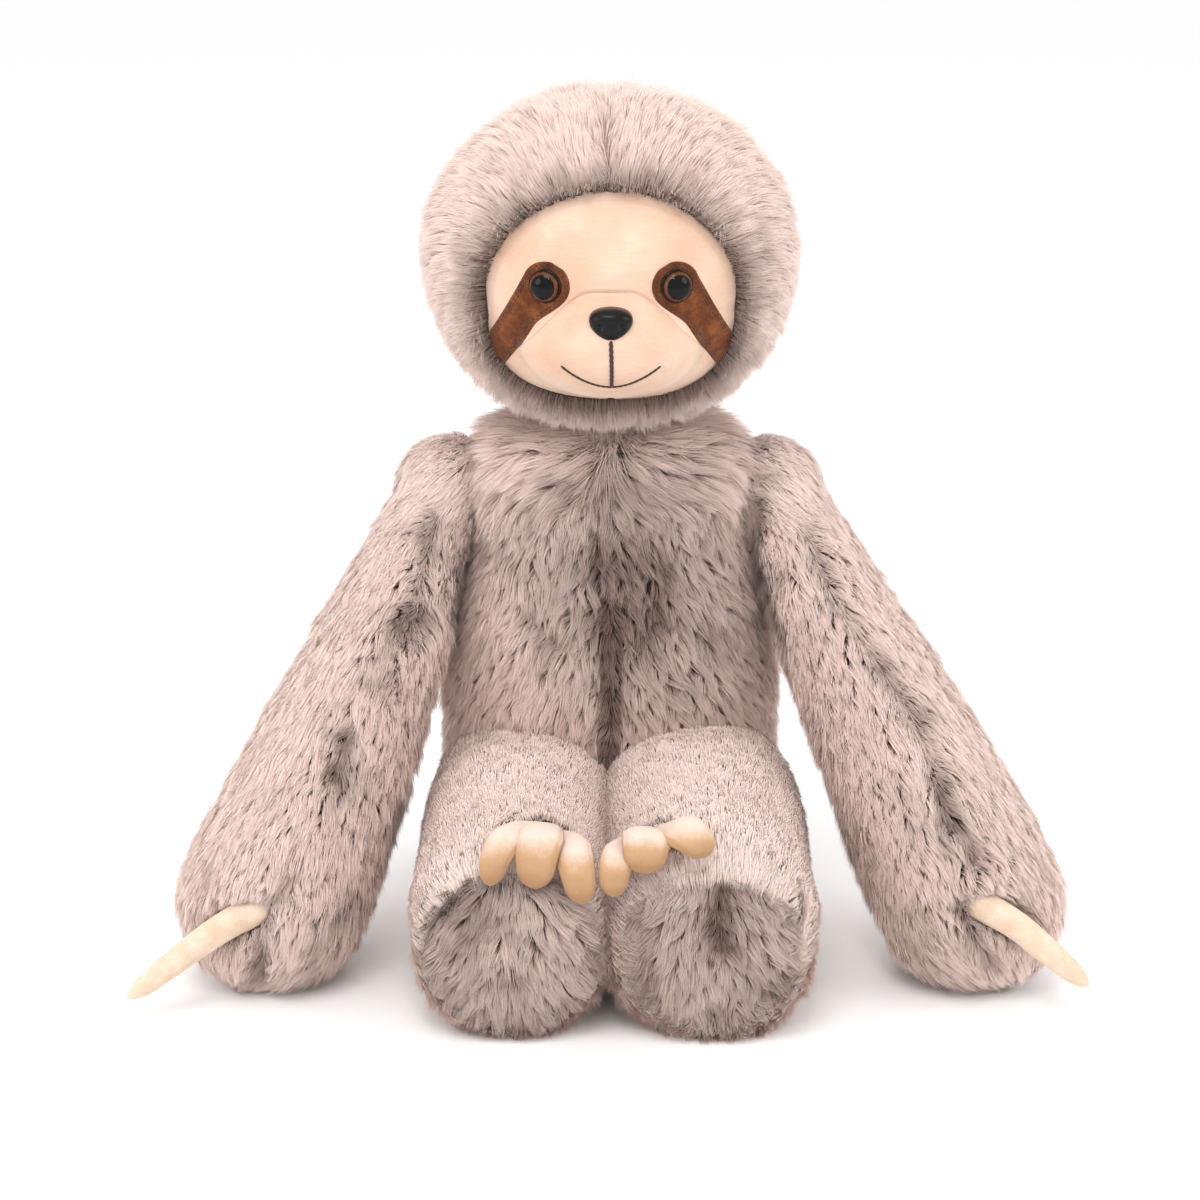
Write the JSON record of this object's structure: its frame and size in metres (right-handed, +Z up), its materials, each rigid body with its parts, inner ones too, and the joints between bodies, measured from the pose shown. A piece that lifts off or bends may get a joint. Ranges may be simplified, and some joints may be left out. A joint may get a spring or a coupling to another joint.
{
  "type": "plush sloth",
  "caption": "Sitting plush sloth with a soft hooded head, cream face, long arms and padded claws; head, arms and legs move.",
  "frame": {"origin": "on the flat underside of the seat, in the toy's middle plane, under the neck", "axes": "+Z up, -Y the way the face looks, +X to the right of someone who faces the toy"},
  "size_m": [0.444, 0.2707, 0.4035],
  "materials": {
    "body_fur": "matte",
    "hood_fur": "matte",
    "limb_fur": "matte",
    "sole_fur": "matte",
    "velour": "matte",
    "patch_suede": "matte",
    "claw_suede": "matte",
    "eye_plastic": "gloss",
    "nose_plastic": "satin",
    "white_plastic": "satin",
    "thread": "matte",
    "fibre": "matte",
    "pellets": "matte"
  },
  "bodies": {
    "torso": {"torso_cover": "body_fur", "torso_fill": "fibre", "seat_pellet_bag": "pellets"},
    "neck": {"neck_fill": "fibre"},
    "head": {"head_cover": "hood_fur", "head_fill": "fibre", "forehead_panel": "velour", "muzzle_panel": "velour", "nose": "nose_plastic", "nose_washer": "white_plastic", "philtrum_stitch": "thread", "smile_stitch": "thread", "left_eye_patch": "patch_suede", "right_eye_patch": "patch_suede", "left_eye": "eye_plastic", "right_eye": "eye_plastic", "left_eye_washer": "white_plastic", "right_eye_washer": "white_plastic"},
    "left_shoulder": {"left_shoulder_fill": "fibre"},
    "left_arm": {"left_arm_cover": "limb_fur", "left_arm_fill": "fibre", "left_hand_claw": "claw_suede"},
    "left_leg": {"left_leg_cover": "limb_fur", "left_leg_fill": "fibre", "left_sole": "sole_fur", "left_foot_claw_1": "claw_suede", "left_foot_claw_2": "claw_suede", "left_foot_claw_3": "claw_suede"},
    "right_shoulder": {"right_shoulder_fill": "fibre"},
    "right_arm": {"right_arm_cover": "limb_fur", "right_arm_fill": "fibre", "right_hand_claw": "claw_suede"},
    "right_leg": {"right_leg_cover": "limb_fur", "right_leg_fill": "fibre", "right_sole": "sole_fur", "right_foot_claw_1": "claw_suede", "right_foot_claw_2": "claw_suede", "right_foot_claw_3": "claw_suede"}
  },
  "joints": [
    {"name": "neck_turn", "type": "hinge", "parent": "torso", "child": "neck", "pos_m": [0, 0, 0.25], "axis": [0, 0, 1], "range_deg": [-45, 45], "stiffness_Nm_per_rad": 0.4},
    {"name": "head_nod", "type": "hinge", "parent": "neck", "child": "head", "pos_m": [0, 0, 0.25], "axis": [1, 0, 0], "range_deg": [-20, 20], "stiffness_Nm_per_rad": 0.8},
    {"name": "left_arm_lift", "type": "hinge", "parent": "torso", "child": "left_shoulder", "pos_m": [-0.081, -0.002, 0.212], "axis": [0, 1, 0], "range_deg": [0, 60]},
    {"name": "left_arm_swing", "type": "hinge", "parent": "left_shoulder", "child": "left_arm", "pos_m": [-0.081, -0.002, 0.212], "axis": [1, 0, 0], "range_deg": [-90, 60]},
    {"name": "left_leg_swing", "type": "hinge", "parent": "torso", "child": "left_leg", "pos_m": [-0.0425, -0.045, 0.0485], "axis": [1, 0, 0], "range_deg": [-40, 10]},
    {"name": "right_arm_lift", "type": "hinge", "parent": "torso", "child": "right_shoulder", "pos_m": [0.081, -0.002, 0.212], "axis": [0, -1, 0], "range_deg": [0, 60]},
    {"name": "right_arm_swing", "type": "hinge", "parent": "right_shoulder", "child": "right_arm", "pos_m": [0.081, -0.002, 0.212], "axis": [1, 0, 0], "range_deg": [-90, 60]},
    {"name": "right_leg_swing", "type": "hinge", "parent": "torso", "child": "right_leg", "pos_m": [0.0425, -0.045, 0.0485], "axis": [1, 0, 0], "range_deg": [-40, 10]}
  ]
}
